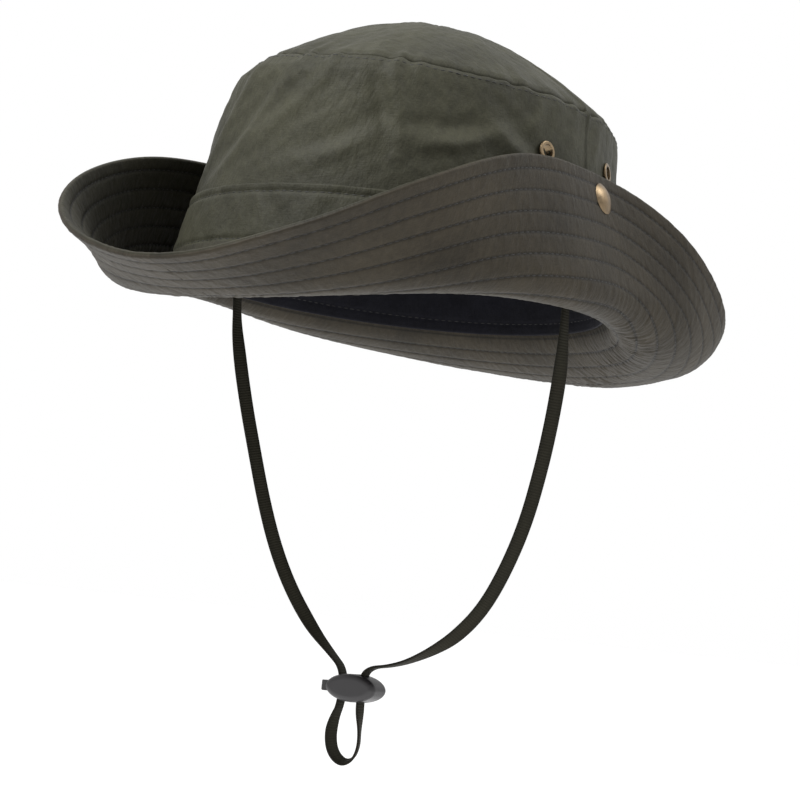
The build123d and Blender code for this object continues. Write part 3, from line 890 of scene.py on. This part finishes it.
def seam_share(theta):
    """Where the top seam lies on the dome, as a share of its half width. It is on the shoulder at the
    wearer's back left, and further up where the wall rolls over at the front right."""
    towards_roll = 0.5 + 0.5 * np.cos(theta + np.radians(140.0))
    return SEAM_SHARE - 0.085 * towards_roll ** 2


def crown_profile(theta, t):
    """The crown's plain outer form. t runs 0 to 1 up the wall and 1 to 2 over the dome to its pole:
    an oval that narrows evenly, then a dome whose height follows 1 - share ** 1.8, with the shoulder
    between them rounded by a blend of the two."""
    group = sizes()
    narrow_top = WALL_TAPER * group.wall_height
    share = np.clip(2.0 - t, 0.0, 1.0)
    level = np.minimum(t, 1.0) * group.wall_height
    narrow = WALL_TAPER * level
    shoulder = np.exp(-((t - 1.0) / 0.035) ** 2)
    across = (group.head_half_width - narrow) * share
    lengthwise = (group.head_half_length - narrow) * share
    rise = group.dome_height * (1.0 - share ** DOME_POWER)
    lean = (level / group.wall_height)[..., None] * CROWN_LEAN
    shrink = 1.0 - 0.006 * shoulder
    x = across * np.cos(theta) * shrink + lean[..., 0]
    y = lengthwise * np.sin(theta) * shrink + lean[..., 1]
    z = level + rise - 0.6 * MM * shoulder
    return np.stack([x, y, z], -1)


FOLDS = [
    # angle, height share, length along the fold, width, tilt from level, depth: all in mm and degrees
    (-118.0, 0.70, 60.0, 9.0, 56.0, 1.5),
    (-104.0, 0.62, 50.0, 8.0, 52.0, 1.3),
    (-132.0, 0.78, 42.0, 8.0, 50.0, 1.0),
    (-90.0, 0.74, 40.0, 8.0, 46.0, 1.2),
    (-60.0, 0.80, 30.0, 7.0, 112.0, 1.5),
    (-44.0, 0.62, 36.0, 7.5, 12.0, 1.5),
    (-28.0, 0.66, 26.0, 8.0, -32.0, 1.7),
    (-20.0, 0.88, 22.0, 6.0, 70.0, 1.1),
    (4.0, 0.84, 20.0, 6.0, 80.0, 0.9),
    (-74.0, 0.50, 40.0, 8.0, 24.0, 0.9),
    (60.0, 0.60, 46.0, 9.0, 40.0, 1.8),
    (105.0, 0.45, 50.0, 10.0, -35.0, 1.8),
    (150.0, 0.65, 44.0, 9.0, 50.0, 1.8),
    (-165.0, 0.50, 46.0, 9.0, 60.0, 1.8),
]


def crown_relief(theta, t):
    """Height of the crown's cloth over its plain form: long folds, each a ridge beside a hollow, slow
    crumples, small crinkles, gathers that fade away from the top seam, and a dip along that seam."""
    group = sizes()
    u = oval_length(theta) * 0.93
    v = t * group.wall_height
    relief = crown_crumple(u, v) * 0.35 + crown_crinkle(u, v) * 0.09
    around = oval_length(TAU) * 0.93
    for angle, share, size, width, tilt, depth in FOLDS:
        du = (u - oval_length(np.radians(angle)) * 0.93 + around / 2) % around - around / 2
        dv = v - share * group.wall_height
        c, s = np.cos(np.radians(tilt)), np.sin(np.radians(tilt))
        along, off = du * c + dv * s, dv * c - du * s
        off = off - (along ** 2) / (size * MM) * 0.25
        length_fade = np.exp(-(along / (size * MM * 0.5)) ** 2)
        x = off / (width * MM * 0.5)
        relief += depth * length_fade * (np.exp(-x ** 2) - 0.8 * np.exp(-(x - 1.9) ** 2))
    seam_t = 2.0 - seam_share(theta)
    from_seam = (t - seam_t) * group.head_half_width
    gather = seam_gather(u, v) * np.exp(-(np.abs(from_seam) / (9 * MM))) * 0.55
    seam = np.exp(-(from_seam / (1.1 * MM)) ** 2) * 1.0 - np.exp(-(from_seam / (3.2 * MM)) ** 2) * 0.35
    foot = smoothstep(0.22, 0.5, t)
    pole = smoothstep(0.0, 0.35, 2.0 - t)  # calm at the middle of the top, where the map closes
    return MM * ((relief + gather) * foot * pole - seam)


def crown_surface(theta, t, lift=0.0):
    """The crown's outer face: its plain form moved along its normal by the relief."""
    _, _, normal = steps(crown_profile, theta, t, 1e-3)
    return crown_profile(theta, t) + normal * (crown_relief(theta, t) + lift)[..., None]


def crown_shell(name, low, high, rows, thickness, cloth, columns=COLUMNS):
    """A closed shell of crown cloth between two levels of t, each an array of the angle."""
    theta = np.linspace(0, TAU, columns, endpoint=False)
    share = np.linspace(0.0, 1.0, rows)
    t = low(theta)[None] + (high(theta) - low(theta))[None] * share[:, None]
    th = np.broadcast_to(theta, t.shape)
    outer = crown_surface(th, t)
    inner = crown_surface(th, t, -thickness)
    rows_all = np.concatenate([outer, inner[::-1]], 0)
    uv_v = np.concatenate([t, t[::-1]], 0) * sizes().wall_height
    uv_u = np.concatenate([th, th], 0)
    uv = np.stack([oval_length(uv_u) * 0.93, uv_v], -1)
    count = 2 * rows
    faces = grid_faces(count, columns, wrap_columns=True)
    c = np.arange(columns)
    last = (count - 1) * columns
    closing = np.stack([last + c, last + (c + 1) % columns, (c + 1) % columns, c], -1)
    return mesh_piece(name, rows_all, np.concatenate([faces, closing]), [cloth], uv)


class HAT_OT_crown_wall(bpy.types.Operator):
    """Make the crown's side, from the brim seam up to the top seam"""
    bl_idname = "hat.crown_wall"
    bl_label = "Crown wall"

    def execute(self, context):
        cloth = cloth_material("crown_cloth", colours().crown)
        piece = crown_shell("crown_wall", lambda a: np.zeros_like(a), lambda a: 2.0 - seam_share(a),
                            WALL_ROWS, 0.8 * MM, cloth)
        punch_holes(piece)
        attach(piece, ROOT)
        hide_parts("crown_side_front", "crown_side_back")
        return {"FINISHED"}


class HAT_OT_crown_top(bpy.types.Operator):
    """Make the crown's top panel, a soft dome inside the top seam"""
    bl_idname = "hat.crown_top"
    bl_label = "Crown top"

    def execute(self, context):
        cloth = cloth_material("crown_top_cloth", colours().crown)
        piece = crown_shell("crown_top", lambda a: 2.0 - seam_share(a), lambda a: np.full_like(a, 1.996),
                            TOP_ROWS, 0.8 * MM, cloth)
        cap_pole(piece, TOP_ROWS, COLUMNS)
        flat_map(piece)
        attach(piece, ROOT)
        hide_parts("crown_top_panel")
        return {"FINISHED"}


def eyelet_middles(mesh):
    """The middles of the four eyelets: the points on each side of the hat, in front and behind."""
    points = np.zeros(len(mesh.vertices) * 3)
    mesh.vertices.foreach_get("co", points)
    points = points.reshape(-1, 3)
    middles = []
    for side in (-1, 1):
        for end in (-1, 1):
            split = EYELET_SHIFT * MM
            own = points[(np.sign(points[:, 0]) == side) & (np.sign(points[:, 1] - split) == end)]
            middles.append((own.min(0) + own.max(0)) / 2)
    return middles


def punch_holes(piece):
    """Cut the four eyelets' holes through the crown's cloth with short cylinders."""
    cutters = []
    for middle in eyelet_middles(frame["nodes"]["eyelets"].data):
        bpy.ops.mesh.primitive_cylinder_add(radius=HOLE_RADIUS * MM, depth=16 * MM, vertices=24)
        cutter = bpy.context.object
        a, b = sizes().head_half_width, sizes().head_half_length
        out = Vector((middle[0] / a ** 2, middle[1] / b ** 2, 0.0)).normalized()
        out = Vector((out.x, out.y, WALL_TAPER)).normalized()
        cutter.matrix_world = Matrix.Translation(middle) @ out.to_track_quat("Z", "Y").to_matrix().to_4x4()
        cutters.append(cutter)
    for cutter in cutters:
        cut = piece.modifiers.new("hole", "BOOLEAN")
        cut.operation = "DIFFERENCE"
        cut.solver = "EXACT"
        cut.object = cutter
    bpy.context.view_layer.update()
    graph = bpy.context.evaluated_depsgraph_get()
    result = bpy.data.meshes.new_from_object(piece.evaluated_get(graph))
    piece.modifiers.clear()
    old = piece.data
    piece.data = result
    bpy.data.meshes.remove(old)
    for cutter in cutters:
        bpy.data.objects.remove(cutter)


def flat_map(piece):
    """Lay the top panel's map flat, as its cloth was cut: X and Y in metres."""
    mesh = piece.data
    points = np.zeros(len(mesh.vertices) * 3)
    mesh.vertices.foreach_get("co", points)
    corners = np.zeros(len(mesh.loops), np.int32)
    mesh.loops.foreach_get("vertex_index", corners)
    flat = points.reshape(-1, 3)[corners][:, [1, 0]]
    mesh.uv_layers["cloth"].data.foreach_set("uv", flat.ravel())


def cap_pole(piece, rows, columns):
    """Close the small hole at the dome's pole by drawing its rings in to one point each."""
    mesh = piece.data
    points = np.zeros(len(mesh.vertices) * 3)
    mesh.vertices.foreach_get("co", points)
    points = points.reshape(2 * rows, columns, 3)
    points[rows - 1] = points[rows - 1].mean(0)
    points[rows] = points[rows].mean(0)
    mesh.vertices.foreach_set("co", points.ravel())
    work = bmesh.new()
    work.from_mesh(mesh)
    bmesh.ops.remove_doubles(work, verts=work.verts, dist=1e-6)
    work.to_mesh(mesh)
    work.free()


band_crinkle = Ripples(41, (7 * MM, 20 * MM), 1.2)


def band_surface(theta, height):
    """The band's outer face: the crown wall moved out by its cloth, with a drawn-in stitch line below
    its top edge and faint crinkles."""
    group = sizes()
    t = height / group.wall_height
    _, _, normal = steps(crown_profile, theta, t, 1e-3)
    from_row = np.minimum(np.abs(height - group.band_height + 3.0 * MM), np.abs(height - 2.5 * MM))
    relief = 1.15 - 0.5 * np.exp(-(from_row / (0.9 * MM)) ** 2)
    relief = relief + 0.16 * band_crinkle(oval_length(theta), height)
    return crown_profile(theta, t) + normal * (relief * MM)[..., None]


class HAT_OT_crown_band(bpy.types.Operator):
    """Make the doubled strip at the foot of the crown"""
    bl_idname = "hat.crown_band"
    bl_label = "Crown band"

    def execute(self, context):
        group = sizes()
        cloth = cloth_material("crown_band_cloth", colours().crown)
        levels = np.linspace(0.3 * MM, group.band_height, 40)
        piece = closed_ring("crown_band", band_surface, levels, 0.75 * MM, [cloth])
        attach(piece, ROOT)
        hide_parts("crown_band_front", "crown_band_back")
        return {"FINISHED"}


def sweatband_surface(theta, height):
    """The sweatband's inner face, seen from inside: the crown's oval drawn in, with a rolled lower edge,
    two stitch lines and a step at its join."""
    group = sizes()
    t = height / group.wall_height
    _, _, normal = steps(crown_profile, theta, t, 1e-3)
    from_row = np.minimum(np.abs(height - 3.5 * MM), np.abs(height - group.sweatband_height + 3.0 * MM))
    join = (np.degrees(theta) - 118.0 + 180.0) % 360.0 - 180.0
    step = 0.55 * smoothstep(-0.9, 0.9, join) * (1.0 - smoothstep(7.0, 9.0, join))
    relief = 2.15 - 0.3 * np.exp(-(from_row / (0.8 * MM)) ** 2) + step
    relief = relief + 0.12 * band_crinkle(oval_length(theta) * 0.8, height)
    return crown_profile(theta, t) - normal * (relief * MM)[..., None]


class HAT_OT_sweatband(bpy.types.Operator):
    """Make the woven sweatband inside the head opening"""
    bl_idname = "hat.sweatband"
    bl_label = "Sweatband"

    def execute(self, context):
        group = sizes()
        tape = cloth_material("sweatband_tape", colours().sweatband, weave=0.8, roughness=0.8, sheen=0.0)
        levels = np.linspace(-1.2 * MM, group.sweatband_height, 36)
        piece = closed_ring("sweatband_band", sweatband_surface, levels, -0.9 * MM, [tape])
        turn_outwards(piece)
        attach(piece, ROOT)
        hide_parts("sweatband")
        return {"FINISHED"}


def turn_outwards(piece):
    """Point every face of a closed shell outwards."""
    work = bmesh.new()
    work.from_mesh(piece.data)
    bmesh.ops.recalc_face_normals(work, faces=work.faces)
    work.to_mesh(piece.data)
    work.free()


def seam_row(name, surface, levels, pitch, thread, inside=False):
    """Stitches all round the hat along surface(theta, level of theta)."""
    parts = []
    for level in levels:
        theta = even_angles(lambda a: surface(a, level(a)), 0.0, TAU, pitch)
        where = level(theta)
        ahead, over, normal = steps(surface, theta, where, 5e-4)
        parts.append((surface(theta, where), ahead, over, -normal if inside else normal))
    centres, ahead, over, up = (np.concatenate(group) for group in zip(*parts))
    piece = stitches(name, centres, ahead, over, up, pitch * 0.72, 0.5 * MM, 0.3 * MM, thread)
    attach(piece, ROOT)
    return piece


def level_at(height):
    """The same height all round."""
    return lambda theta: np.full_like(theta, height)


def below_top_seam(theta):
    return 2.0 - seam_share(theta) - 0.034


class HAT_OT_crown_stitches(bpy.types.Operator):
    """Sew the top seam, the band and the sweatband"""
    bl_idname = "hat.crown_stitches"
    bl_label = "Crown stitches"

    def execute(self, context):
        group = sizes()
        thread = thread_material("crown_thread", colours().thread)
        band_rows = [level_at(group.band_height - 3.0 * MM), level_at(2.5 * MM)]
        lining_rows = [level_at(3.5 * MM), level_at(group.sweatband_height - 3.0 * MM)]
        rows = {
            "top_seam_stitches": (crown_surface, [below_top_seam], False, "crown_cloth"),
            "band_stitches": (band_surface, band_rows, False, "crown_cloth"),
            "sweatband_stitches": (sweatband_surface, lining_rows, True, "sweatband_tape"),
        }
        for name, (surface, levels, inside, slot) in rows.items():
            seam_row(name, surface, levels, group.stitch, thread, inside)
        return {"FINISHED"}


# ----------------------------------------------------------------------------------------------
# Hardware kept from the CAD model
# ----------------------------------------------------------------------------------------------


def refinish(names, material):
    for name in names:
        data = frame["nodes"][name].data
        data.materials.clear()
        data.materials.append(material)


class HAT_OT_hardware(bpy.types.Operator):
    """Give the snaps, eyelets, tabs and toggle their finishes"""
    bl_idname = "hat.hardware"
    bl_label = "Hardware"

    def execute(self, context):
        shades = colours()
        brass = brass_material("antique_brass", shades.brass)
        kinds = ("snap_cap", "snap_socket", "snap_stud", "stud_post")
        snaps = [f"{side}_{kind}" for side in ("left", "right") for kind in kinds]
        refinish(snaps + ["eyelets", "eyelet_washers"], brass)
        refinish(["toggle_body"], plastic_material("toggle_plastic", shades.toggle))
        darker = tuple(channel * 0.6 for channel in shades.toggle)
        refinish(["toggle_button"], plastic_material("button_plastic", darker, 0.36))
        refinish(["toggle_spring"], brass_material("spring_steel", (0.5, 0.5, 0.5)))
        refinish(["cord_tabs"], plastic_material("cord_tab_tape", shades.tape, 0.8))
        return {"FINISHED"}


# ----------------------------------------------------------------------------------------------
# Stage
# ----------------------------------------------------------------------------------------------


def area_light(name, place, aim, size, power):
    light = bpy.data.lights.new(name, "AREA")
    light.shape = "DISK"
    light.size = size
    light.energy = power
    holder = bpy.data.objects.new(name, light)
    bpy.context.scene.collection.objects.link(holder)
    direction = Vector(aim) - Vector(place)
    holder.matrix_world = Matrix.Translation(place) @ direction.to_track_quat("-Z", "Y").to_matrix().to_4x4()
    return holder


def add_camera(scene, studio):
    """Place the camera on a sphere about the head opening, roll it, and aim it a little off the middle."""
    a, e = studio.azimuth, studio.elevation
    out = Vector((np.sin(a) * np.cos(e), -np.cos(a) * np.cos(e), np.sin(e)))
    right = Vector((np.cos(a), np.sin(a), 0.0))
    up = out.cross(right)
    c, s = np.cos(studio.roll), np.sin(studio.roll)
    right, up = right * c + up * s, up * c - right * s
    place = out * studio.distance
    back = (place - right * studio.aim_right + up * studio.aim_down).normalized()
    right = up.cross(back).normalized()
    up = back.cross(right)
    lens = bpy.data.cameras.new("camera")
    lens.lens = studio.lens
    lens.sensor_width = SENSOR
    lens.clip_start, lens.clip_end = CLIP
    camera = bpy.data.objects.new("camera", lens)
    camera.matrix_world = Matrix.Translation(place) @ Matrix((right, up, back)).transposed().to_4x4()
    scene.collection.objects.link(camera)
    scene.camera = camera


def add_world(scene):
    """A plain white studio all round."""
    world = bpy.data.worlds.new("studio")
    world.use_nodes = True
    background = world.node_tree.nodes["Background"]
    background.inputs["Color"].default_value = (1.0, 1.0, 1.0, 1.0)
    background.inputs["Strength"].default_value = 1.0
    scene.world = world
    scene.view_settings.view_transform = "Standard"


def floor_material():
    """Pale matt paper with faint clouds and a little glow, so that it meets the white studio evenly."""
    pale = Shade("pale_floor")
    place = pale.node("ShaderNodeTexCoord").out("Object")
    tone = pale.mix(pale.noise(place, 3.0), (0.90, 0.90, 0.90, 1.0), (0.93, 0.93, 0.93, 1.0))
    return pale.finish(Base_Color=tone, Roughness=0.9, Emission_Color=(1.0, 1.0, 1.0, 1.0),
                       Emission_Strength=0.15)


class HAT_OT_stage(bpy.types.Operator):
    """Set up the camera, the pale floor and the soft lights"""
    bl_idname = "hat.stage"
    bl_label = "Stage"

    def execute(self, context):
        scene = context.scene
        studio = scene.hat_studio
        add_camera(scene, studio)
        add_world(scene)
        reach, z = FLOOR_REACH, studio.floor_height
        corners = [(-reach, -reach, z), (reach, -reach, z), (reach, reach, z), (-reach, reach, z)]
        floor = mesh_piece("floor", corners, [[0, 1, 2, 3]], [floor_material()])
        for name, settings in AREA_LIGHTS.items():
            area_light(name, *settings)
        return {"FINISHED"}


# ----------------------------------------------------------------------------------------------
# Add-on
# ----------------------------------------------------------------------------------------------

OPERATORS = (HAT_OT_stage, HAT_OT_chin_tape, HAT_OT_brim, HAT_OT_brim_stitches, HAT_OT_crown_wall,
             HAT_OT_crown_top, HAT_OT_crown_band, HAT_OT_sweatband, HAT_OT_crown_stitches, HAT_OT_hardware)


class HAT_PT_panel(bpy.types.Panel):
    """Lists the hat's pieces and its sizes and colours"""
    bl_idname = "HAT_PT_panel"
    bl_label = "Stitched brim hat"
    bl_space_type = "VIEW_3D"
    bl_region_type = "UI"
    bl_category = "Hat"

    def draw(self, context):
        for operator in OPERATORS:
            self.layout.operator(operator.bl_idname)
        for holder, group in GROUPS.items():
            for name in group.__annotations__:
                self.layout.prop(getattr(context.scene, holder), name)


def register():
    for group in GROUPS.values():
        bpy.utils.register_class(group)
    for holder, group in GROUPS.items():
        setattr(bpy.types.Scene, holder, bpy.props.PointerProperty(type=group))
    for operator in OPERATORS:
        bpy.utils.register_class(operator)
    bpy.utils.register_class(HAT_PT_panel)


def unregister():
    bpy.utils.unregister_class(HAT_PT_panel)
    for operator in reversed(OPERATORS):
        bpy.utils.unregister_class(operator)
    for holder in GROUPS:
        delattr(bpy.types.Scene, holder)
    for group in GROUPS.values():
        bpy.utils.unregister_class(group)


def main():
    register()
    for operator in OPERATORS:
        family, action = operator.bl_idname.split(".")
        getattr(getattr(bpy.ops, family), action)()


if __name__ == "__main__":
    main()
